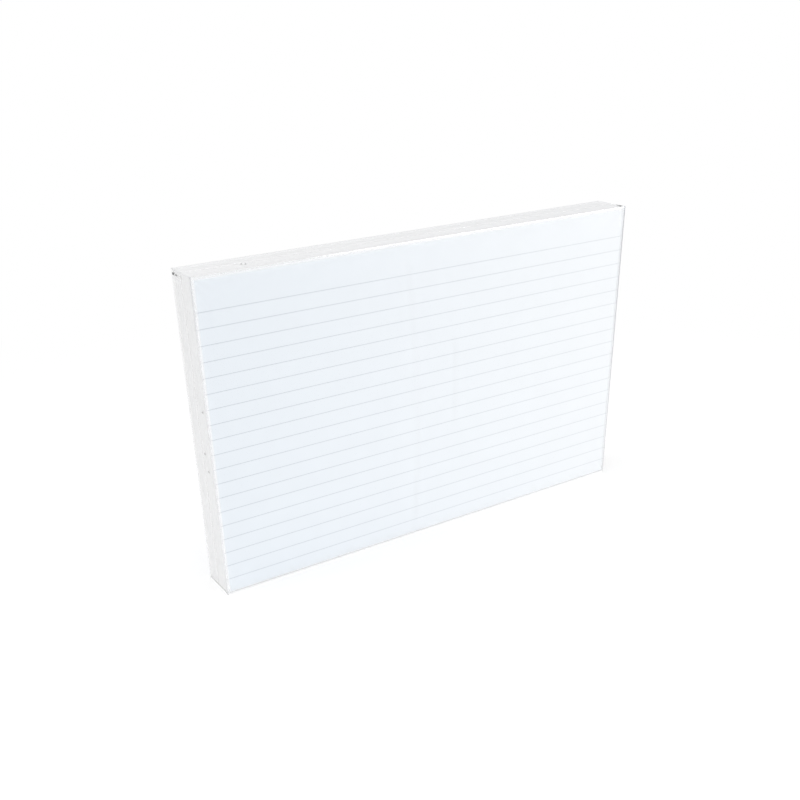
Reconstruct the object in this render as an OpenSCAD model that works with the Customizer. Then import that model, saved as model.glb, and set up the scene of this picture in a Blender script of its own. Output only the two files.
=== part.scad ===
// A pack of ruled index cards in clear shrink film, standing on its long edge.
// X runs along the ruled lines, the ruled front card looks to -Y, and the pack stands at Z = 0.

/* [Cards] */
// Width of a card, along its ruled lines
card_w = 203; // [120:1:260]
// Height of a card
card_h = 127; // [100:1:180]
// Thickness of one card
card_t = 0.16; // [0.12:0.01:0.3]
// Number of cards in the pack
card_count = 100; // [40:1:150]
// Film of air between two neighbouring cards
air_gap = 0.005; // [0.005:0.005:0.02]
// Furthest that a card stands out of line, sideways
card_sway = 0.04; // [0.02:0.01:0.15]
// Most that a card rides above the lowest one
card_lift = 0.03; // [0.01:0.01:0.1]

/* [Ruling] */
// Space above the first ruled line
header_h = 12.4; // [8:0.1:25]
// Distance from one ruled line to the next
line_pitch = 6; // [4:0.1:10]
// Least space left under the last ruled line
footer_min = 5; // [2:0.1:12]
// Width of a ruled line
line_w = 0.3; // [0.15:0.05:0.6]
// Thickness of the ink
ink_t = 0.01; // [0.005:0.005:0.02]

/* [Film] */
// Thickness of the shrink film
film_t = 0.04; // [0.02:0.01:0.08]
// Clearance between the cards and the film
film_clear = 0.3; // [0.3:0.05:0.6]
// Radius of the film where it turns over the edges of the pack
film_edge_r = 0.65; // [0.4:0.05:0.7]

/* [Seal] */
// Diameter of the bead that the trim seal leaves round the middle of the pack
bead_d = 0.3; // [0.2:0.05:0.5]
// Width of a corner ear where it leaves the seal
ear_w = 1.6; // [0.8:0.1:3]
// Width of a corner ear at its tip
ear_tip_w = 0.6; // [0.2:0.1:0.8]
// Distance from the tip of a corner ear to the edge that it points to
ear_setback = 0.5; // [0.2:0.1:2]
// How far the left ear lies below the rounded top edge
left_ear_drop = 0.7; // [0:0.1:2]
// Thickness of a corner ear, which is film folded double
ear_t = 0.12; // [0.08:0.01:0.2]

/* [Air vents] */
// Diameter of a pin-hole that lets the air out as the film shrinks
vent_d = 0.7; // [0.4:0.1:1]
// Width of the melted rim round a pin-hole
vent_rim_w = 0.2; // [0.1:0.05:0.4]
// How far the melted rim stands proud of the film
vent_rim_t = 0.03; // [0.02:0.01:0.06]
// Height of the lowest pin-hole on the left side
side_vent_z = 53; // [10:1:90]
// Distance of the first pin-hole in the top from the left side
top_vent_x = 22.5; // [5:0.5:150]

/* [Hidden] */
$fn = 48;

card_pitch = card_t + air_gap;
stack_t = card_count * card_t + (card_count - 1) * air_gap;

// The room inside the film, and the outside of the film
room_w = card_w + 2 * film_clear;
room_d = stack_t + 2 * film_clear;
room_h = card_h + 2 * film_clear;
wrap_w = room_w + 2 * film_t;
wrap_d = room_d + 2 * film_t;
wrap_h = room_h + 2 * film_t;

card_foot = film_t + film_clear;
front_y = -stack_t / 2;
bead_r = bead_d / 2;

// Where the flat part of the film ends at the top, at the sides and at the front and back
flat_top = wrap_h - film_edge_r;
flat_side = wrap_w / 2 - film_edge_r;
flat_depth = wrap_d / 2 - film_edge_r;
ear_len = flat_depth - ear_setback;

// Ruled lines that fit between the header and the footer
line_count = floor((card_h - header_h - footer_min) / line_pitch) + 1;

// Pin-holes on the left side: the rise above the lowest, and the share of the way from seal to front
side_vents = [[0, 0.55], [6.8, 0.3], [24.4, 0.66]];
// Pin-holes in the top: the distance beyond the first, and the share of the way from seal to front
top_vents = [[0, 0.23], [1.25, 0.35]];

// A shuffle from -1 to 1 that is the same every time, with a different value for each card
function shuffle(i, salt) = sin(i * 137.5 + salt) * cos(i * 61 + 2 * salt);

// A rectangle centred on the origin with true round corners
module round_rect(width, height, radius) {
    square([width - 2 * radius, height], center = true);
    square([width, height - 2 * radius], center = true);
    for (x = [-1, 1], y = [-1, 1])
        translate([x * (width / 2 - radius), y * (height / 2 - radius)])
            circle(r = radius);
}

// A block standing on Z = 0 whose twelve edges are all rounded
module round_block(width, depth, height, radius) {
    intersection() {
        linear_extrude(height)
            round_rect(width, depth, radius);
        translate([0, depth / 2, height / 2])
            rotate([90, 0, 0])
                linear_extrude(depth)
                    round_rect(width, height, radius);
        translate([-width / 2, 0, height / 2])
            rotate([90, 0, 90])
                linear_extrude(width)
                    round_rect(depth, height, radius);
    }
}

// Puts its children at the lower left front corner of a card, counted from the front of the pack
module at_card(index) {
    sway = card_sway * shuffle(index, 0);
    lift = card_lift * abs(shuffle(index, 40));
    translate([sway - card_w / 2, front_y + index * card_pitch, card_foot + lift])
        children();
}

module card(index) {
    at_card(index)
        cube([card_w, card_t, card_h]);
}

module front_card() {
    color("#F1F5FA")
        card(0);
}

module inner_cards() {
    color("#F4F4F2")
        for (index = [1 : card_count - 2])
            card(index);
}

module back_card() {
    color("#F4F4F2")
        card(card_count - 1);
}

// The ruled lines printed across the front card, from edge to edge
module front_ruling() {
    first_line_z = card_h - header_h - line_w / 2;
    color("#B4C0CC")
        at_card(0)
            for (line = [0 : line_count - 1])
                translate([0, -ink_t, first_line_z - line * line_pitch])
                    cube([card_w, ink_t, line_w]);
}

// The bead of the trim seal, up the left side, over the top and down the right side
module seal_bead() {
    for (side = [-1, 1]) {
        translate([side * wrap_w / 2, 0, film_edge_r])
            sphere(r = bead_r);
        translate([side * wrap_w / 2, 0, film_edge_r])
            cylinder(h = flat_top - film_edge_r, r = bead_r);
        translate([side * flat_side, 0, flat_top])
            mirror([side < 0 ? 1 : 0, 0, 0])
                rotate([90, 0, 0])
                    rotate_extrude(angle = 90)
                        translate([film_edge_r, 0])
                            circle(r = bead_r);
    }
    translate([-flat_side, 0, wrap_h])
        rotate([0, 90, 0])
            cylinder(h = 2 * flat_side, r = bead_r);
}

// An ear of folded film: wide at the seal and running out to a point
module ear() {
    linear_extrude(ear_t)
        polygon([[0, 0], [ear_w, 0], [ear_tip_w, ear_len], [0, ear_len]]);
}

// The left ear lies on the side under the top edge and points to the back
module left_ear() {
    translate([-wrap_w / 2 + film_t / 2, 0, flat_top - left_ear_drop])
        rotate([0, 90, 180])
            mirror([0, 1, 0])
                ear();
}

// The right ear lies on the top beside the right edge and points to the front
module right_ear() {
    translate([flat_side, 0, wrap_h - film_t / 2])
        rotate(180)
            ear();
}

// A melted rim and the pin-hole through it, pointing out along Z from the film's outer face
module vent_rim() {
    translate([0, 0, -film_t / 2])
        cylinder(h = film_t / 2 + vent_rim_t, d = vent_d + 2 * vent_rim_w);
}

module vent_hole() {
    translate([0, 0, -film_t - film_clear / 2])
        cylinder(h = film_t + film_clear + vent_rim_t, d = vent_d);
}

// Puts its children at every pin-hole, pointing outwards
module at_vents() {
    for (v = side_vents)
        translate([-wrap_w / 2, -v[1] * flat_depth, side_vent_z + v[0]])
            rotate([0, -90, 0])
                children();
    for (v = top_vents)
        translate([-wrap_w / 2 + top_vent_x + v[0], -v[1] * flat_depth, wrap_h])
            children();
}

// The clear film, one closed skin with its seal, its ears and its pin-holes
module film_wrap() {
    color("#DCE8F2", 0.3)
        difference() {
            union() {
                round_block(wrap_w, wrap_d, wrap_h, film_edge_r);
                seal_bead();
                left_ear();
                right_ear();
                at_vents() vent_rim();
            }
            translate([0, 0, film_t])
                round_block(room_w, room_d, room_h, film_edge_r - film_t);
            at_vents() vent_hole();
        }
}

front_card();
inner_cards();
back_card();
front_ruling();
film_wrap();
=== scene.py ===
# %% [markdown]
# A pack of ruled index cards
#
# This lesson dresses a pack of white index cards that stands on its long edge in clear shrink film.
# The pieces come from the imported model: a front card, the cards behind it, a back card, the printed
# lines and the film. Each card is its own solid already, so the work here is in the finishes, and in
# the film, which is far too thin and too crumpled to draw as a plain box.

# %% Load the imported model
import math

import bmesh
import bpy
from mathutils import Matrix, Vector, noise


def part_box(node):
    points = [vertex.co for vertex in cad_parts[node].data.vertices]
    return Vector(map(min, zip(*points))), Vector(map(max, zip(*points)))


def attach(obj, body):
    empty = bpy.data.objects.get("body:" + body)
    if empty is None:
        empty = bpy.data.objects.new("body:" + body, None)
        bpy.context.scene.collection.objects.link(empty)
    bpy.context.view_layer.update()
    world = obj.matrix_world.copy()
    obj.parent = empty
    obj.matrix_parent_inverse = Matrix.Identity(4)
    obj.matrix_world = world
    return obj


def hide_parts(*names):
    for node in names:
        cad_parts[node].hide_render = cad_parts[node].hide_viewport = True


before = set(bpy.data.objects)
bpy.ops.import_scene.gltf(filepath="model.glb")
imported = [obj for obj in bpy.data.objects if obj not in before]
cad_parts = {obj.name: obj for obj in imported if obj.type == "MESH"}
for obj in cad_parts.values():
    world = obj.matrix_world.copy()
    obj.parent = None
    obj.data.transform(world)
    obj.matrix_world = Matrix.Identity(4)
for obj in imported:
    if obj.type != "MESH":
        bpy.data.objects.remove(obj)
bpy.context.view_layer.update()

# %% [markdown]
# Blender counts in metres, and paper is made in millimetres. One factor turns the sizes below from
# one to the other, so that every size in this file can be read as a real one.
#
# Colours are written the way a paint chart gives them, as sRGB hex, and a shader wants them linear.

# %% Sizes and colours
MM = 0.001


def linear(hex_colour):
    """Turns an sRGB colour such as "EEF2F7" into the linear RGBA that a shader takes."""
    shares = [int(hex_colour[i : i + 2], 16) / 255 for i in (0, 2, 4)]
    return [s / 12.92 if s <= 0.04045 else ((s + 0.055) / 1.055) ** 2.4 for s in shares] + [1.0]


film_low, film_high = (Vector(corner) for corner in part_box("film_wrap"))
card_low, card_high = (Vector(corner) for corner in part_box("front_card"))
pack_middle = (film_low + film_high) / 2
print("front card in mm:", [round(v / MM, 2) for v in card_high - card_low])

# %% [markdown]
# The camera stands where the photographer stood: to the left of the pack, a little above it and
# close, so that the far end looks clearly smaller. The photograph was cut out and centred after it
# was taken, which is why the lens is shifted. The shift does that without tilting the camera.

# %% Camera
CAMERA_PLACE = Vector((-225.6, -332.7, 211.0)) * MM
CAMERA_TURN = math.radians(32.51)
CAMERA_DIP = math.radians(28.64)
CAMERA_ROLL = math.radians(-1.28)

lens = bpy.data.cameras.new("photo_camera")
lens.sensor_width = 36
lens.lens = 44.63
lens.shift_y = 0.17
lens.clip_start = 0.01
camera = bpy.data.objects.new("photo_camera", lens)
bpy.context.scene.collection.objects.link(camera)
camera.matrix_world = (
    Matrix.Translation(CAMERA_PLACE)
    @ Matrix.Rotation(-CAMERA_TURN, 4, "Z")
    @ Matrix.Rotation(math.radians(90) - CAMERA_DIP, 4, "X")
    @ Matrix.Rotation(CAMERA_ROLL, 4, "Z")
)
bpy.context.scene.camera = camera
print("camera stands", round((CAMERA_PLACE - pack_middle).length / MM), "mm from the pack")

# %% [markdown]
# Every material below is a small network of nodes. One function adds a node, sets its settings and
# fills its inputs, with plain numbers or with the output of an earlier node.

# %% One function for every node
def add(tree, kind, inputs=None, **settings):
    """Adds a node and returns it. An input is a number, a colour or another node's output."""
    node = tree.nodes.new(kind)
    for name, value in settings.items():
        setattr(node, name, value)
    for key, value in (inputs or {}).items():
        if isinstance(value, bpy.types.NodeSocket):
            tree.links.new(value, node.inputs[key])
        else:
            node.inputs[key].default_value = value
    return node


def new_material(name):
    """An empty material, as its node tree and the socket that takes the finished shader."""
    material = bpy.data.materials.new(name)
    material.use_nodes = True
    material.node_tree.nodes.clear()
    output = material.node_tree.nodes.new("ShaderNodeOutputMaterial")
    return material, material.node_tree, output.inputs["Surface"]


# %% [markdown]
# The pack stands on a plain white table in a white room. A picture of a white pack on white needs
# its background a little brighter than its paint, so a camera ray, or one that comes through the
# film or off it, sees the room at full white and the table a touch paler than it is painted. The
# pack still keeps its faint shadow. Far from the pack the table melts into the room.
#
# Close to the pack the table also glows weakly, for every ray but the viewer's. That glow is painted
# light: it comes up from under the pack and brightens the foot of the cards, where there would be
# shade. The pack is long and thin, so a step along it counts for a tenth of a step away from it.
#
# The table is large, and its sizes are in metres.

# %% Table and room
TABLE_HALF = 3.0
NEAR_RADIUS = 0.15
FAR_RADIUS = 0.40
TABLE_LIFT = 0.05
TABLE_FILL = 0.1
FILL_NEAR = 0.015
FILL_FAR = 0.05
FILL_SQUEEZE = (0.1, 1.0, 1.0)
ROOM_LIGHT = 0.73


def seen_by_viewer(tree):
    """1 for rays from the camera, off a gloss or through a clear piece, and 0 for all others."""
    ray = add(tree, "ShaderNodeLightPath").outputs
    camera_or_gloss = {0: ray["Is Camera Ray"], 1: ray["Is Glossy Ray"]}
    gloss = add(tree, "ShaderNodeMath", camera_or_gloss, operation="MAXIMUM").outputs[0]
    or_through = {0: gloss, 1: ray["Is Transmission Ray"]}
    return add(tree, "ShaderNodeMath", or_through, operation="MAXIMUM").outputs[0]


table_mesh = bpy.data.meshes.new("table")
corners = [(x * TABLE_HALF, y * TABLE_HALF, 0) for x, y in ((-1, -1), (1, -1), (1, 1), (-1, 1))]
table_mesh.from_pydata(corners, [], [(0, 1, 2, 3)])
table = bpy.data.objects.new("table", table_mesh)
bpy.context.scene.collection.objects.link(table)

white_sheet, tree, surface = new_material("white_table_with_painted_glow")
viewer = seen_by_viewer(tree)
place = add(tree, "ShaderNodeTexCoord").outputs["Object"]
away = add(tree, "ShaderNodeVectorMath", {0: place}, operation="LENGTH").outputs["Value"]
reach = {"Value": away, "From Min": NEAR_RADIUS, "From Max": FAR_RADIUS}
far = add(tree, "ShaderNodeMapRange", reach, interpolation_type="SMOOTHSTEP").outputs[0]
far_seen = add(tree, "ShaderNodeMath", {0: far, 1: viewer}, operation="MULTIPLY").outputs[0]
# A painted glow close to the pack, for rays other than the viewer's, which lights the shaded foot of the
# cards.
squeezed = {0: place, 1: FILL_SQUEEZE}
across = add(tree, "ShaderNodeVectorMath", squeezed, operation="MULTIPLY").outputs[0]
gap = add(tree, "ShaderNodeVectorMath", {0: across}, operation="LENGTH").outputs["Value"]
reach = {"Value": gap, "From Min": FILL_NEAR, "From Max": FILL_FAR, "To Min": TABLE_FILL, "To Max": 0.0}
fill = add(tree, "ShaderNodeMapRange", reach, interpolation_type="SMOOTHSTEP").outputs[0]
glow_inputs = {"Factor": viewer, "A": fill, "B": TABLE_LIFT}
glow_level = add(tree, "ShaderNodeMix", glow_inputs).outputs["Result"]
sheet = add(tree, "ShaderNodeBsdfDiffuse", {"Color": linear("FAFAFA")}).outputs[0]
glow = add(tree, "ShaderNodeEmission", {"Color": linear("FFFFFF"), "Strength": glow_level}).outputs[0]
near_table = add(tree, "ShaderNodeAddShader", {0: sheet, 1: glow}).outputs[0]
far_table = add(tree, "ShaderNodeEmission", {"Color": linear("FFFFFF"), "Strength": 1.0}).outputs[0]
whole = add(tree, "ShaderNodeMixShader", {0: far_seen, 1: near_table, 2: far_table}).outputs[0]
tree.links.new(whole, surface)
table_mesh.materials.append(white_sheet)

room = bpy.data.worlds.new("white_room")
bpy.context.scene.world = room
room.use_nodes = True
tree = room.node_tree
tree.nodes.clear()
lit_inputs = {"Color": linear("FFFFFF"), "Strength": ROOM_LIGHT}
room_light = add(tree, "ShaderNodeBackground", lit_inputs).outputs[0]
white_inputs = {"Color": linear("FFFFFF"), "Strength": 1.0}
room_white = add(tree, "ShaderNodeBackground", white_inputs).outputs[0]
shown_room = add(tree, "ShaderNodeMixShader", {0: seen_by_viewer(tree), 1: room_light, 2: room_white})
add(tree, "ShaderNodeOutputWorld", {"Surface": shown_room.outputs[0]})
print("table and room made")

# %% [markdown]
# Three large soft boxes light the pack. The strongest stands in front to the right, which makes
# the front card grow paler towards its right end, as in the photograph. Their light is soft, so
# the only hard lines left on the pack are its own.

# %% Soft boxes
SOFT_BOXES = {
    "right_soft_box": {"place": (600, -700, 100), "size": 500, "watts": 3.5},
    "left_soft_box": {"place": (-760, 170, 250), "size": 520, "watts": 1.0},
    "top_soft_box": {"place": (-60, 0, 900), "size": 700, "watts": 2.45},
}

for name, box in SOFT_BOXES.items():
    lamp = bpy.data.lights.new(name, "AREA")
    lamp.shape = "SQUARE"
    lamp.size = box["size"] * MM
    lamp.energy = box["watts"]
    soft_box = bpy.data.objects.new(name, lamp)
    soft_box.location = Vector(box["place"]) * MM
    soft_box.rotation_euler = (pack_middle - soft_box.location).to_track_quat("-Z", "Y").to_euler()
    bpy.context.scene.collection.objects.link(soft_box)
print("soft boxes:", len(SOFT_BOXES))

# %% [markdown]
# Index card is a smooth, dense white stock, calendered between steel rolls. Its faces are matt,
# with a faint mottle where the fibres lie thicker and a grain that only shows close up. A
# guillotine cuts the whole pile at once. The fresh cut is as pale as a face but has none of its
# faint blue, and the knife leaves faint marks that run straight through the pile. Each card still
# catches the light a little differently, because no two were pressed quite alike.
#
# The cards of the pack are separate solids in one node, so a card's own number is worked out from
# its depth in the pile. Fibres are about 0.03 mm wide, too fine to show, so they are drawn at
# 0.25 mm.

# %% Card stock
FIBRE_SIZE = 0.25
MOTTLE_SIZE = 9.0
KNIFE_MARK_SIZE = 0.5
PILE_LENGTH = 30.0
CARD_PITCH = 0.165
RULED_FACE = ("EFF1F3", "F2F4F6")
PLAIN_FACE = ("EFF0F1", "F2F3F4")
CUT_EDGE = ("F0F0F0", "F4F4F4")


def card_stock(name, face_pair, cut_pair):
    """Matt card stock. Each pair of colours is the darkest and the palest that it comes out."""
    material, tree, surface = new_material(name)
    coordinates = add(tree, "ShaderNodeTexCoord").outputs
    place = coordinates["Object"]
    across = add(tree, "ShaderNodeSeparateXYZ", {0: coordinates["Normal"]}).outputs["Y"]
    on_face = add(tree, "ShaderNodeMath", {0: across}, operation="ABSOLUTE").outputs[0]

    mottle_inputs = {"Vector": place, "Scale": 1 / (MOTTLE_SIZE * MM), "Detail": 3.0}
    mottle = add(tree, "ShaderNodeTexNoise", mottle_inputs).outputs[0]
    face_inputs = {"Factor": mottle, "A": linear(face_pair[0]), "B": linear(face_pair[1])}
    face = add(tree, "ShaderNodeMix", face_inputs, data_type="RGBA").outputs["Result"]

    depth = add(tree, "ShaderNodeSeparateXYZ", {0: place}).outputs["Y"]
    pitches = add(tree, "ShaderNodeMath", {0: depth, 1: 1 / (CARD_PITCH * MM)}, operation="MULTIPLY")
    number = add(tree, "ShaderNodeMath", {0: pitches.outputs[0]}, operation="FLOOR").outputs[0]
    each_card = add(tree, "ShaderNodeTexWhiteNoise", {"W": number}, noise_dimensions="1D").outputs[0]
    per_metre = (1 / (KNIFE_MARK_SIZE * MM), 1 / (PILE_LENGTH * MM), 1 / (KNIFE_MARK_SIZE * MM))
    through_pile = add(tree, "ShaderNodeVectorMath", {0: place, 1: per_metre}, operation="MULTIPLY")
    knife_inputs = {"Vector": through_pile.outputs[0], "Scale": 1.0, "Detail": 2.0}
    knife = add(tree, "ShaderNodeTexNoise", knife_inputs).outputs[0]
    cut_level = add(tree, "ShaderNodeMix", {"Factor": 0.5, "A": each_card, "B": knife}).outputs["Result"]
    cut_inputs = {"Factor": cut_level, "A": linear(cut_pair[0]), "B": linear(cut_pair[1])}
    cut = add(tree, "ShaderNodeMix", cut_inputs, data_type="RGBA").outputs["Result"]

    colour_inputs = {"Factor": on_face, "A": cut, "B": face}
    colour = add(tree, "ShaderNodeMix", colour_inputs, data_type="RGBA").outputs["Result"]
    fibre_inputs = {"Vector": place, "Scale": 1 / (FIBRE_SIZE * MM), "Detail": 4.0}
    fibres = add(tree, "ShaderNodeTexNoise", fibre_inputs).outputs[0]
    grain_inputs = {"Height": fibres, "Strength": 0.25, "Distance": 0.01 * MM}
    grain = add(tree, "ShaderNodeBump", grain_inputs).outputs[0]
    rough = add(tree, "ShaderNodeMapRange", {"Value": fibres, "To Min": 0.65, "To Max": 0.85}).outputs[0]
    paper_inputs = {"Base Color": colour, "Roughness": rough, "IOR": 1.45, "Normal": grain}
    tree.links.new(add(tree, "ShaderNodeBsdfPrincipled", paper_inputs).outputs[0], surface)
    return material


def repaint(node_name, material):
    """Gives every material slot of a CAD node the better material."""
    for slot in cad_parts[node_name].material_slots:
        slot.material = material


repaint("front_card", card_stock("ruled_card_stock", RULED_FACE, CUT_EDGE))
plain_stock = card_stock("plain_card_stock", PLAIN_FACE, CUT_EDGE)
repaint("inner_cards", plain_stock)
repaint("back_card", plain_stock)
print("cards painted")

# %% [markdown]
# The ruling is a pale grey-blue ink that a ruling wheel lays down wet. The card drinks it unevenly,
# so a line is a little broken along its length. The ink is also painted paler towards the right end
# of the card: a painted sheen, in place of the glare off the film and the blur that wash the lines
# out there.

# %% Ruling ink
INK_BREAK_SIZE = 0.8
INK_AT_LEFT = 1.0
INK_AT_RIGHT = 0.75

ink, tree, surface = new_material("ruling_ink")
place = add(tree, "ShaderNodeTexCoord").outputs["Object"]
along = add(tree, "ShaderNodeSeparateXYZ", {0: place}).outputs["X"]
# Painted sheen: the ink fades towards the right end of the card.
ink_fade_inputs = {
    "Value": along,
    "From Min": card_low.x,
    "From Max": card_high.x,
    "To Min": INK_AT_LEFT,
    "To Max": INK_AT_RIGHT,
}
painted_ink_fade = add(tree, "ShaderNodeMapRange", ink_fade_inputs).outputs[0]
break_inputs = {"Vector": place, "Scale": 1 / (INK_BREAK_SIZE * MM), "Detail": 2.0}
breaks = add(tree, "ShaderNodeTexNoise", break_inputs).outputs[0]
soaked = add(tree, "ShaderNodeMapRange", {"Value": breaks, "To Min": 0.75, "To Max": 1.1}).outputs[0]
density = add(tree, "ShaderNodeMath", {0: painted_ink_fade, 1: soaked}, operation="MULTIPLY", use_clamp=True)
ink_inputs = {"Factor": density.outputs[0], "A": linear("F3F5F6"), "B": linear("D1D4D8")}
ink_colour = add(tree, "ShaderNodeMix", ink_inputs, data_type="RGBA").outputs["Result"]
ink_shader = add(tree, "ShaderNodeBsdfPrincipled", {"Base Color": ink_colour, "Roughness": 0.7})
tree.links.new(ink_shader.outputs[0], surface)
repaint("front_ruling", ink)
print("ruling painted")

# %% [markdown]
# Shrink film is clear polyolefin, a few hundredths of a millimetre thick, drawn tight by hot air.
# It is two things at once: a window and a mirror. Light goes straight through, apart from the few
# per cent that its two faces reflect, and that share grows quickly at a glancing angle. Schlick's
# rule gives it from the angle alone. Film seen nearly edge on is painted grey-blue, most of all
# where it turns over an edge. A little of that is the longer path through the film, and the rest is
# painted shade, which draws the dark lines along the pack's edges.
#
# A wall of 0.04 mm is thinner than any pixel, so the skin is a single sheet, and its finish stands
# for both faces. Two faces so close together would only cost light that gets lost between them.
#
# Four values are kept on the points of each film piece. The first says how far the film is folded
# or gathered, which scatters light, and it also paints the film white: as a highlight along the
# borders of the front and back and round each pin-hole, and as light over the shade at the foot.
# The second paints a near-black skin at a pin-hole's lip, a corner or an ear's tip and roll, for the
# shade and dark reflections there. The third says how flat the film lies on a card: film that
# touches paper wets it, in effect, and the paper looks a little bluer and darker there. It is left
# off along the borders, where the film stands off, and that paler band is a painted highlight; it is
# also thinned towards the right end as painted sheen. The fourth says how far the film is on its way
# round an edge, where it is seen through more of its thickness, and it carries painted shade, set
# edge by edge. The window and its shine are painted grey there.

# %% Shrink film
MIRROR_FACE_ON = 0.08
MIRROR_GAIN = 0.9
SHINE_ROUGHNESS = 0.12
MILKY_SCATTER = 0.6

film, tree, surface = new_material("clear_polyolefin_film")
facing = add(tree, "ShaderNodeLayerWeight", {"Blend": 0.5}).outputs["Facing"]
milky_and_painted_light = add(tree, "ShaderNodeAttribute", attribute_name="milky_and_painted_light").outputs["Fac"]
painted_dark = add(tree, "ShaderNodeAttribute", attribute_name="painted_dark").outputs["Fac"]
contact_and_sheen = add(tree, "ShaderNodeAttribute", attribute_name="contact_and_sheen").outputs["Fac"]
turned_and_shade = add(tree, "ShaderNodeAttribute", attribute_name="turned_and_shade").outputs["Fac"]
glancing = add(tree, "ShaderNodeMath", {0: facing, 1: 5.0}, operation="POWER").outputs[0]
schlick_inputs = {0: glancing, 1: MIRROR_GAIN, 2: MIRROR_FACE_ON}
schlick = add(tree, "ShaderNodeMath", schlick_inputs, operation="MULTIPLY_ADD", use_clamp=True)
mirror_share = schlick.outputs[0]
# Glancing film is painted grey-blue: a little for its thickness, mostly painted shade for dark edge lines.
steep = add(tree, "ShaderNodeMath", {0: facing, 1: 8.0}, operation="POWER").outputs[0]
clear = add(tree, "ShaderNodeMath", {0: 1.0, 1: milky_and_painted_light}, operation="SUBTRACT", use_clamp=True).outputs[0]
edge_on = add(tree, "ShaderNodeMath", {0: steep, 1: clear}, operation="MULTIPLY").outputs[0]
bent = add(tree, "ShaderNodeMath", {0: facing, 1: 4.0}, operation="POWER").outputs[0]
turned_away = add(tree, "ShaderNodeMath", {0: bent, 1: turned_and_shade}, operation="MULTIPLY").outputs[0]
edge_shade = add(tree, "ShaderNodeMath", {0: edge_on, 1: turned_away}, operation="MAXIMUM").outputs[0]
# The wet tint, left off along the borders as a painted highlight and thinned to the right as painted sheen.
wet_inputs = {"Factor": contact_and_sheen, "A": linear("FFFFFF"), "B": linear("FBFDFF")}
wet = add(tree, "ShaderNodeMix", wet_inputs, data_type="RGBA").outputs["Result"]
# Painted shade: round the edges the window and its shine are painted grey.
grey_inputs = {"Factor": turned_and_shade, "A": wet, "B": linear("9CA2AD")}
grey = add(tree, "ShaderNodeMix", grey_inputs, data_type="RGBA").outputs["Result"]
tint_inputs = {"Factor": edge_shade, "A": grey, "B": linear("7C8494")}
tint = add(tree, "ShaderNodeMix", tint_inputs, data_type="RGBA").outputs["Result"]
window = add(tree, "ShaderNodeBsdfTransparent", {"Color": tint}).outputs[0]
scatter = add(tree, "ShaderNodeBsdfDiffuse", {"Color": linear("FFFFFF")}).outputs[0]
scatter_inputs = {0: milky_and_painted_light, 1: MILKY_SCATTER}
scatter_share = add(tree, "ShaderNodeMath", scatter_inputs, operation="MULTIPLY").outputs[0]
body = add(tree, "ShaderNodeMixShader", {0: scatter_share, 1: window, 2: scatter}).outputs[0]
shine_inputs = {"Color": grey, "Roughness": SHINE_ROUGHNESS}
shine = add(tree, "ShaderNodeBsdfGlossy", shine_inputs).outputs[0]
clear_film = add(tree, "ShaderNodeMixShader", {0: mirror_share, 1: body, 2: shine}).outputs[0]
# A near-black finish painted where the pin-holes, corners and ears hold shade and dark reflections.
painted_dark_inputs = {"Base Color": linear("202124"), "Roughness": 0.35}
painted_dark_film = add(tree, "ShaderNodeBsdfPrincipled", painted_dark_inputs).outputs[0]
film_surface = add(tree, "ShaderNodeMixShader", {0: painted_dark, 1: clear_film, 2: painted_dark_film}).outputs[0]
tree.links.new(film_surface, surface)
print("film material made")

# %% [markdown]
# The film turns over the pack's edges in a small radius, then draws in until it nearly lies on the
# cards. At the corners there is too much of it, so it gathers in folds that fan out from each
# corner, and the corner itself is painted dark, for the shade in the tight gather there.
#
# A bevelled box would have the radius but no folds, and a cloth simulation would fold anywhere
# rather than where these packs do. So the skin starts as a box ruled with a grid, fine near the
# edges and coarser in the middle, and each point is then moved by what the film does there.

# %% Film sizes
FILM_EDGE_R = 0.65
BEAD_R = 0.15
FINE_STEP = 0.4
COARSE_STEP = 1.7
STEP_GROWTH = 1.12
TURN_STEPS = 5

skin_low = Vector((film_low.x + BEAD_R * MM, film_low.y, film_low.z)) / MM
skin_high = Vector((film_high.x - BEAD_R * MM, film_high.y, film_high.z - BEAD_R * MM)) / MM
skin_half = (skin_high - skin_low) / 2
skin_middle = (skin_high + skin_low) / 2
flat_half = skin_half - Vector((FILM_EDGE_R,) * 3)
print("film skin in mm:", [round(2 * v, 2) for v in skin_half])


# %% [markdown]
# Air has to leave as the film shrinks, so hot needles prick it first, three times on the left side
# and twice on top. A needle leaves a hole with a lip that is drawn inwards and a raised ring round
# it. The lip is painted dark, for the shade inside the hole, and the ring is painted white, a
# painted highlight. Each hole gets a square opening between grid lines of its own, so the openings
# don't touch, and rings of points are set into it.

# %% Places of the pin-holes
VENT_OPENING = 0.62
SIDE_VENT_Z = 53.0
SIDE_VENTS = [(0.0, 0.55), (6.8, 0.3), (24.4, 0.66)]
TOP_VENT_X = 22.5
TOP_VENTS = [(0.0, 0.23), (1.25, 0.35)]
SIDE_AXIS = 0
TOP_AXIS = 2

vents = []
for rise, share in SIDE_VENTS:
    height = SIDE_VENT_Z + rise - skin_half.z
    vents.append((SIDE_AXIS, Vector((-skin_half.x, -share * flat_half.y, height))))
for beyond, share in TOP_VENTS:
    along_top = TOP_VENT_X + beyond - skin_half.x
    vents.append((TOP_AXIS, Vector((along_top, -share * flat_half.y, skin_half.z))))

# %% The grid round the box
LEAST_LINE_GAP = 0.25


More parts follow.
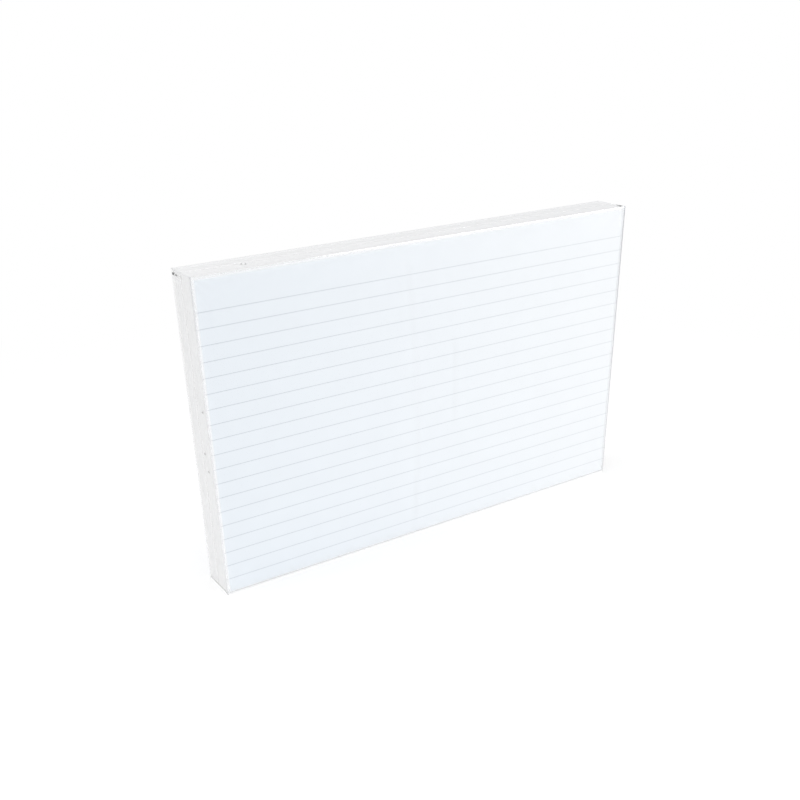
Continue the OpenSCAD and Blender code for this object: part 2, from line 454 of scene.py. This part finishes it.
def grid_lines(axis):
    """Places of the grid lines on one axis: close over the turned edge, then further apart."""
    flat = flat_half[axis]
    gaps = [FINE_STEP]
    while sum(gaps) < flat:
        gaps.append(min(COARSE_STEP, gaps[-1] * STEP_GROWTH))
    stretch = flat / sum(gaps)
    outer = [flat - stretch * sum(gaps[:i]) for i in range(len(gaps))]
    turn_angles = [math.radians(45) * i / TURN_STEPS for i in range(1, TURN_STEPS + 1)]
    turn = [flat + FILM_EDGE_R * math.tan(angle) for angle in turn_angles]
    usual = [-v for v in outer + turn] + [0.0] + outer + turn
    centres = [place[axis] for side_axis, place in vents if side_axis != axis]
    stops = [centre + side * VENT_OPENING for centre in centres for side in (-1, 1)]
    kept = [v for v in usual if abs(v) >= flat or all(abs(v - stop) > LEAST_LINE_GAP for stop in stops)]
    return sorted(kept + stops)


def box_grid():
    """A bmesh of a box whose six sides are ruled with the grid lines."""
    lines = [grid_lines(axis) for axis in range(3)]
    grid, known = bmesh.new(), {}

    def point(axis, side, i, j):
        u, v = (axis + 1) % 3, (axis + 2) % 3
        spot = [0, 0, 0]
        spot[axis], spot[u], spot[v] = side * (len(lines[axis]) - 1), i, j
        key = tuple(spot)
        if key not in known:
            known[key] = grid.verts.new([lines[a][key[a]] for a in range(3)])
        return known[key]

    for axis in range(3):
        u, v = (axis + 1) % 3, (axis + 2) % 3
        for side in (0, 1):
            for i in range(len(lines[u]) - 1):
                for j in range(len(lines[v]) - 1):
                    loop = [point(axis, side, *c) for c in ((i, j), (i + 1, j), (i + 1, j + 1), (i, j + 1))]
                    grid.faces.new(loop if side else loop[::-1])
    return grid


skin = box_grid()
skin_rise = skin.verts.layers.float.new("rise")
skin_milky_and_painted_light = skin.verts.layers.float.new("milky_and_painted_light")
skin_painted_dark = skin.verts.layers.float.new("painted_dark")
skin_contact_and_sheen = skin.verts.layers.float.new("contact_and_sheen")
skin_turned_and_shade = skin.verts.layers.float.new("turned_and_shade")
print("film grid:", len(skin.verts), "points and", len(skin.faces), "faces")

# %% Pin-holes
# The inner rings are painted dark, for the shade in the hole; the raised rings are painted white, a painted
# highlight.
VENT_RINGS = [
    {"radius": 0.20, "rise": -0.12, "milky_and_painted_light": 0.0, "painted_dark": 1.0},
    {"radius": 0.27, "rise": -0.07, "milky_and_painted_light": 0.0, "painted_dark": 1.0},
    {"radius": 0.33, "rise": 0.02, "milky_and_painted_light": 0.5, "painted_dark": 0.8},
    {"radius": 0.39, "rise": 0.06, "milky_and_painted_light": 1.5, "painted_dark": 0.0},
    {"radius": 0.50, "rise": 0.04, "milky_and_painted_light": 1.5, "painted_dark": 0.0},
    {"radius": 0.58, "rise": 0.00, "milky_and_painted_light": 0.4, "painted_dark": 0.0},
]
VENT_POINTS = 24


def prick(axis, centre):
    """Opens the grid round a centre on one side of the box and sets the rings of a hole in."""
    u, v = (axis + 1) % 3, (axis + 2) % 3

    def inside(face):
        gap = face.calc_center_median() - centre
        return abs(gap[axis]) < 0.01 and max(abs(gap[u]), abs(gap[v])) < VENT_OPENING

    opening = [face for face in skin.faces if inside(face)]
    corners = {vert for face in opening for vert in face.verts}
    bmesh.ops.delete(skin, geom=opening, context="FACES")
    border = {edge for vert in corners if vert.is_valid for edge in vert.link_edges if edge.is_boundary}
    rings = []
    for ring in VENT_RINGS:
        points = []
        for k in range(VENT_POINTS):
            turn = math.tau * k / VENT_POINTS
            spot = centre.copy()
            spot[u] += ring["radius"] * math.cos(turn)
            spot[v] += ring["radius"] * math.sin(turn)
            point = skin.verts.new(spot)
            point[skin_rise] = ring["rise"]
            point[skin_milky_and_painted_light] = ring["milky_and_painted_light"]
            point[skin_painted_dark] = ring["painted_dark"]
            points.append(point)
        rings.append(points)
    for inner, outer in zip(rings, rings[1:]):
        for k in range(VENT_POINTS):
            n = (k + 1) % VENT_POINTS
            skin.faces.new((inner[k], outer[k], outer[n], inner[n]))
    outermost = {skin.edges.get(pair) for pair in zip(rings[-1], rings[-1][1:] + rings[-1][:1])}
    bmesh.ops.bridge_loops(skin, edges=list(border | outermost))


for side_axis, vent_place in vents:
    prick(side_axis, vent_place)
bmesh.ops.recalc_face_normals(skin, faces=skin.faces)
print("film pricked:", len(vents), "holes")

# %% [markdown]
# Rounding every edge at once takes one rule. The nearest point of a smaller box is found for each
# point of the grid, and the point is then put one radius away from it. The direction between the
# two is also the film's normal there. Stretched film turns more sharply than that, so each edge is
# drawn part of the way out to a square one. The film draws in everywhere but on the table and
# round a pin-hole, where the prick has taken the tension out of it. The table presses the film's
# foot fully square, and the film is painted white there: painted light over the shade at the foot
# of the cards.

# %% What the film does at a point
PULL_IN = 0.15
PULL_OVER = 3.0
RIPPLE_DEPTH = 0.03
RIPPLE_LENGTH = 14
MOST_IN_FACE = 0.25
MOST_IN_EDGE = 0.17
FOLD_DEPTH = 0.09
FOLD_REACH = 5.0
FOLD_START = 0.8
FOLD_COUNT = 7
FOLD_MILKY = 0.15
EDGE_SQUARENESS = 0.75
FOOT_SQUARENESS = 1.0
# The corners are painted dark, over this reach, for the shade in the gathered film.
CORNER_DARK_REACH = 1.0
TOP_CORNER_DARK = 0.15
FOOT_CORNER_DARK = 0.5
SLACK_REACH = 2.5
# Painted shade round the edges, edge by edge: darkest on the right edge and paler towards its foot.
RIGHT_EDGE_GREY = {"foot": 0.45, "top": 0.9}
LEFT_EDGE_GREY = {"foot": 0.07, "top": 0.22}
FOOT_EDGE_GREY = 0.03
BACK_EDGE_GREY = 0.03
TOP_EDGE_GREY = 0.09
# Along the borders of the big faces the wet tint is left off and the film painted white: a painted
# highlight.
BORDER_BAND = 0.5
BORDER_FADE = 0.5
BORDER_PAINTED_HIGHLIGHT = 0.45
# The wet tint thins towards the right end: painted sheen.
CONTACT_LEFT = 1.0
CONTACT_RIGHT_PAINTED_SHEEN = 0.2
CREASES = [
    {"top": -13.6, "bottom": -11.4, "bow": 4.0, "width": 1.4, "low": 0.0, "high": 127.0},
    {"top": 10.3, "bottom": 10.3, "bow": 0.4, "width": 1.2, "low": 44.0, "high": 90.0},
]
CREASE_HEIGHT = 0.04
CREASE_FADE = 12
CREASE_MILKY = 0.08
# Painted light: the film's foot is painted white over the shade under the cards.
FOOT_BAND = 0.9
FOOT_FADE = 0.4
FOOT_PAINTED_LIGHT = 1.3
SHARP_FOLD = math.radians(60)


def smooth(share):
    """Rises from 0 to 1 with no corner at either end."""
    share = min(1.0, max(0.0, share))
    return share * share * (3 - 2 * share)


def painted_edge_shade(normal, height):
    """How much painted shade the film takes on its way round an edge, set edge by edge and by height."""
    share = height / (2 * skin_half.z)
    if normal.x > 0.1 and normal.y < -0.1:
        return RIGHT_EDGE_GREY["foot"] + (RIGHT_EDGE_GREY["top"] - RIGHT_EDGE_GREY["foot"]) * share
    if normal.z < -0.1:
        return FOOT_EDGE_GREY
    if normal.y > 0.1:
        return BACK_EDGE_GREY
    if normal.x < -0.1 and normal.y < -0.1:
        near_top = smooth((share - 0.75) / 0.2)
        return LEFT_EDGE_GREY["foot"] + (LEFT_EDGE_GREY["top"] - LEFT_EDGE_GREY["foot"]) * near_top
    return TOP_EDGE_GREY


def crease_at(x, z):
    """How strongly one of the upright creases in the front shows at a point, from 0 to 1."""
    best = 0.0
    for crease in CREASES:
        share = z / (2 * skin_half.z)
        middle = crease["bottom"] + (crease["top"] - crease["bottom"]) * share
        middle += crease["bow"] * math.sin(math.pi * share)
        ends = smooth((z - crease["low"]) / CREASE_FADE) * smooth((crease["high"] - z) / CREASE_FADE)
        best = max(best, ends * math.exp(-(((x - middle) / crease["width"]) ** 2)))
    return best


def film_state(point):
    """Where a point rests, its normal, its draw-in (mm), its white with painted light, its wet tint with
    painted sheen.
    """
    rest = Vector([min(f, max(-f, v)) for v, f in zip(point, flat_half)])
    normal = (point - rest).normalized()
    axis = max(range(3), key=lambda a: abs(normal[a]))
    others = [a for a in range(3) if a != axis]
    edge = min(flat_half[a] - abs(point[a]) for a in others)
    away = [max(0.0, skin_half[a] - abs(point[a])) for a in others]
    around = math.atan2(away[0], away[1] + 1e-6)
    corner_number = sum(2**a for a in range(3) if point[a] > 0)
    fan = 0.5 + 0.5 * math.sin(2 * FOLD_COUNT * around + 1.7 * corner_number)
    fold = math.exp(-math.hypot(*away) / FOLD_REACH) * smooth(edge / FOLD_START) * fan
    ripple = 0.5 + 0.5 * noise.noise(point / RIPPLE_LENGTH)
    inward = (PULL_IN + RIPPLE_DEPTH * ripple) * smooth(edge / PULL_OVER) + FOLD_DEPTH * fold
    on_face = axis == 1
    crease = crease_at(point.x, point.z + skin_half.z) if on_face and point.y < 0 else 0.0
    inward -= CREASE_HEIGHT * crease * smooth(edge / PULL_OVER)
    vent_gap = min((point - place).length for _, place in vents)
    inward *= smooth((vent_gap - VENT_OPENING) / SLACK_REACH)
    if axis == 2 and point.z < 0:
        inward = 0.0
    inward = min(max(0.0, inward), MOST_IN_FACE if on_face else MOST_IN_EDGE)
    # The border band is a painted highlight, and the fade to the right is painted sheen.
    outside_painted_highlight = smooth((edge - BORDER_BAND) / BORDER_FADE) if on_face else 0.0
    contact_under_painted_sheen = CONTACT_LEFT + (CONTACT_RIGHT_PAINTED_SHEEN - CONTACT_LEFT) * (0.5 + 0.5 * point.x / skin_half.x)
    contact_and_sheen = contact_under_painted_sheen * outside_painted_highlight
    border = BORDER_PAINTED_HIGHLIGHT * (1 - outside_painted_highlight) if on_face else 0.0
    height = point.z + skin_half.z
    inset = min(skin_half[a] - abs(point[a]) for a in (0, 1))
    # The foot is painted white: painted light over the shade under the cards.
    foot = FOOT_PAINTED_LIGHT * smooth((FOOT_BAND - height) / FOOT_FADE) * smooth((FOOT_BAND - inset) / FOOT_FADE)
    milky_and_painted_light = max(foot, min(1.0, FOLD_MILKY * fold + CREASE_MILKY * crease + border))
    return rest, normal, inward, milky_and_painted_light, contact_and_sheen


# %% Move the points and build the film skin
deepest = 0.0
for vert in skin.verts:
    rest, normal, inward, milky_and_painted_light_here, contact_and_sheen_here = film_state(vert.co)
    diagonal = 27**0.5 * abs(normal.x * normal.y * normal.z)
    gap = (skin_half - Vector([abs(v) for v in vert.co])).length
    # The corners are painted dark, for the shade in the gathered film there.
    corner_dark = diagonal * math.exp(-((gap / CORNER_DARK_REACH) ** 2))
    square = FILM_EDGE_R * (1 / max(abs(v) for v in normal) - 1)
    squareness = EDGE_SQUARENESS + (FOOT_SQUARENESS - EDGE_SQUARENESS) * smooth(-3 * normal.z)
    place = rest + normal * (FILM_EDGE_R + squareness * square - inward + vert[skin_rise])
    vert[skin_milky_and_painted_light] = max(vert[skin_milky_and_painted_light], milky_and_painted_light_here)
    corner_dark_level = TOP_CORNER_DARK if vert.co.z > 0 else FOOT_CORNER_DARK
    vert[skin_painted_dark] = max(vert[skin_painted_dark], corner_dark_level * smooth(2 * corner_dark - 0.6))
    vert[skin_contact_and_sheen] = contact_and_sheen_here
    # Painted shade round the edges, set edge by edge.
    turned_and_shade = 2 * max(abs(normal.x * normal.y), abs(normal.y * normal.z), abs(normal.z * normal.x))
    vert[skin_turned_and_shade] = turned_and_shade * painted_edge_shade(normal, vert.co.z + skin_half.z)
    vert.co = (skin_middle + place) * MM
    deepest = max(deepest, inward)

for edge in skin.edges:
    edge.smooth = edge.calc_face_angle(0.0) < SHARP_FOLD

skin_mesh = bpy.data.meshes.new("film_skin")
skin.to_mesh(skin_mesh)
skin.free()
skin_mesh.shade_smooth()
film_skin = bpy.data.objects.new("film_skin", skin_mesh)
bpy.context.scene.collection.objects.link(film_skin)
print("film draws in by up to", round(deepest, 3), "mm")


def dress_film(piece):
    """Gives a film piece its finish, and its place in the model."""
    piece.data.materials.append(film)
    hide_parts("film_wrap")
    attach(piece, "root")


dress_film(film_skin)
print("film skin dressed")

# %% [markdown]
# A hot wire closes the film on three sides of the pack and cuts off what is left over. It leaves a
# bead, up the left side, over the top and down the right side, which is never quite even: the
# plastic draws up in places as it sets. A curve with a round section would be too regular, so the
# bead is swept here arch by arch, and each arch has its own size. Only the half that stands out of
# the skin is drawn, since the two halves of clear plastic would shade each other.

# %% Trim seal
BEAD_SIDES = 10
BEAD_STEP = 0.8
BEAD_TURN_STEPS = 8
BEAD_SWELL = 0.04
SWELL_LENGTH = 5
BEAD_WANDER = 0.12
WANDER_LENGTH = 30
BEAD_MILKY = 0.3
BEAD_MILKY_SPREAD = 0.08


def seal_path():
    """Points along the middle of the bead, with the outward direction at each, in millimetres."""
    x_end, z_end = flat_half.x, flat_half.z
    path = []
    rise = round(2 * z_end / BEAD_STEP)
    run = round(2 * x_end / BEAD_STEP)
    path += [(Vector((-x_end, 0, -z_end + 2 * z_end * i / rise)), Vector((-1, 0, 0))) for i in range(rise)]
    for i in range(BEAD_TURN_STEPS):
        angle = math.radians(90) * i / BEAD_TURN_STEPS
        path.append((Vector((-x_end, 0, z_end)), Vector((-math.cos(angle), 0, math.sin(angle)))))
    path += [(Vector((-x_end + 2 * x_end * i / run, 0, z_end)), Vector((0, 0, 1))) for i in range(run)]
    for i in range(BEAD_TURN_STEPS):
        angle = math.radians(90) * i / BEAD_TURN_STEPS
        path.append((Vector((x_end, 0, z_end)), Vector((math.sin(angle), 0, math.cos(angle)))))
    path += [(Vector((x_end, 0, z_end - 2 * z_end * i / rise)), Vector((1, 0, 0))) for i in range(rise + 1)]
    return path


bead_mesh = bmesh.new()
bead_milky = bead_mesh.verts.layers.float.new("milky_and_painted_light")
bead_rings = []
for spot, outward in seal_path():
    on_skin = spot + outward * FILM_EDGE_R
    inward = film_state(on_skin)[2]
    radius = BEAD_R - BEAD_SWELL * (0.5 + 0.5 * noise.noise(on_skin / SWELL_LENGTH))
    wander = BEAD_WANDER * noise.noise(on_skin / WANDER_LENGTH + Vector((7, 0, 0)))
    centre = spot + outward * (FILM_EDGE_R - inward) + Vector((0, wander, 0))
    ring = []
    for k in range(BEAD_SIDES):
        turn = math.pi * (k / (BEAD_SIDES - 1) - 0.5)
        offset = outward * math.cos(turn) + Vector((0, 1, 0)) * math.sin(turn)
        vert = bead_mesh.verts.new((skin_middle + centre + offset * radius) * MM)
        vert[bead_milky] = BEAD_MILKY + BEAD_MILKY_SPREAD * noise.noise(on_skin / 2)
        ring.append(vert)
    bead_rings.append(ring)
for ring, following in zip(bead_rings, bead_rings[1:]):
    for k in range(BEAD_SIDES - 1):
        bead_mesh.faces.new((ring[k], following[k], following[k + 1], ring[k + 1]))

seal_mesh = bpy.data.meshes.new("film_seal")
bead_mesh.to_mesh(seal_mesh)
bead_mesh.free()
seal_mesh.shade_smooth()
film_seal = bpy.data.objects.new("film_seal", seal_mesh)
bpy.context.scene.collection.objects.link(film_seal)
dress_film(film_seal)
print("trim seal swept:", len(bead_rings), "rings")

# %% [markdown]
# Where the seal crosses a corner, the film left over folds flat into a small ear. It is wide at
# the seal, runs out to a melted tip, and its folds stand up like the pleats of a fan. The tip and a
# tight roll in it are painted dark, for the shade and dark reflections in the gathered film. The ear
# is a strip of points whose height comes from the pleats.

# %% Corner ears
EAR_W = 1.6
EAR_TIP_W = 0.8
EAR_SETBACK = 0.5
LEFT_EAR_DROP = 0.7
EAR_LENGTH_STEPS = 64
EAR_WIDTH_STEPS = 24
EAR_LIFT = 0.03
PLEAT_HEIGHT = 0.06
PLEATS = 2.5
PLEAT_MILKY = 0.8
ROLL_HEIGHT = 0.05
ROLL_SIDE = 0.36
ROLL_WANDER = 0.12
ROLL_WIDTH = 0.13
ROLL_FADE = 0.08
# How dark the tight roll is painted, for its shade and dark reflections.
ROLL_DARK = 2.2
LEFT_ROLL = (0.4, 0.68)
RIGHT_ROLL = (0.5, 1.1)
TIP_START = 0.8
TIP_FADE = 0.05
TO_LEFT = Vector((-1, 0, 0))
TO_BACK = Vector((0, 1, 0))
UPWARDS = Vector((0, 0, 1))
ear_length = flat_half.y - EAR_SETBACK


def corner_ear(name, root, along, across, outward, rolled):
    """An ear from its root point. Between the two shares in "rolled" the film is rolled up tight."""
    ear = bmesh.new()
    ear_milky = ear.verts.layers.float.new("milky_and_painted_light")
    ear_painted_dark = ear.verts.layers.float.new("painted_dark")
    rows = []
    for i in range(EAR_LENGTH_STEPS + 1):
        share = i / EAR_LENGTH_STEPS
        width = EAR_W + (EAR_TIP_W - EAR_W) * share
        roll_side = ROLL_SIDE + ROLL_WANDER * noise.noise(Vector((share * 7, 0, len(name))))
        roll_here = smooth((share - rolled[0]) / ROLL_FADE) * smooth((rolled[1] - share) / ROLL_FADE)
        tip = smooth((share - TIP_START) / TIP_FADE)
        row = []
        for j in range(EAR_WIDTH_STEPS + 1):
            side = j / EAR_WIDTH_STEPS
            pleat = abs(math.sin(math.pi * PLEATS * side + 2.2 * share))
            crumple = 0.5 + 0.5 * noise.noise(Vector((share * 9, side * 3, len(name))))
            roll = roll_here * math.exp(-(((side - roll_side) / ROLL_WIDTH) ** 2))
            border = smooth(4 * side) * smooth(4 * (1 - side)) * smooth(3 * share)
            height = border * (PLEAT_HEIGHT * (0.35 * pleat + 0.65 * crumple) + ROLL_HEIGHT * roll)
            spot = root + along * (share * ear_length) + across * (side * width)
            spot += outward * (EAR_LIFT + height - film_state(spot)[2])
            vert = ear.verts.new((skin_middle + spot) * MM)
            # The roll and the tip are painted dark, for shade and dark reflections.
            vert[ear_painted_dark] = min(1.0, ROLL_DARK * roll + tip)
            vert[ear_milky] = PLEAT_MILKY * pleat * (1 - roll_here)
            row.append(vert)
        rows.append(row)
    for row, following in zip(rows, rows[1:]):
        for j in range(EAR_WIDTH_STEPS):
            ear.faces.new((row[j], row[j + 1], following[j + 1], following[j]))
    ear.normal_update()
    if ear.faces[:][0].normal.dot(outward) < 0:
        bmesh.ops.reverse_faces(ear, faces=ear.faces)
    mesh = bpy.data.meshes.new(name)
    ear.to_mesh(mesh)
    ear.free()
    mesh.shade_smooth()
    piece = bpy.data.objects.new(name, mesh)
    bpy.context.scene.collection.objects.link(piece)
    dress_film(piece)


left_root = Vector((-skin_half.x, 0, flat_half.z - LEFT_EAR_DROP))
right_root = Vector((flat_half.x, 0, skin_half.z))
corner_ear("film_ear_left", left_root, TO_BACK, -UPWARDS, TO_LEFT, LEFT_ROLL)
corner_ear("film_ear_right", right_root, -TO_BACK, TO_LEFT, UPWARDS, RIGHT_ROLL)
print("ears folded")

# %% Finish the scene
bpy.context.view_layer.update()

scene = bpy.context.scene
scene.view_settings.view_transform = "Standard"
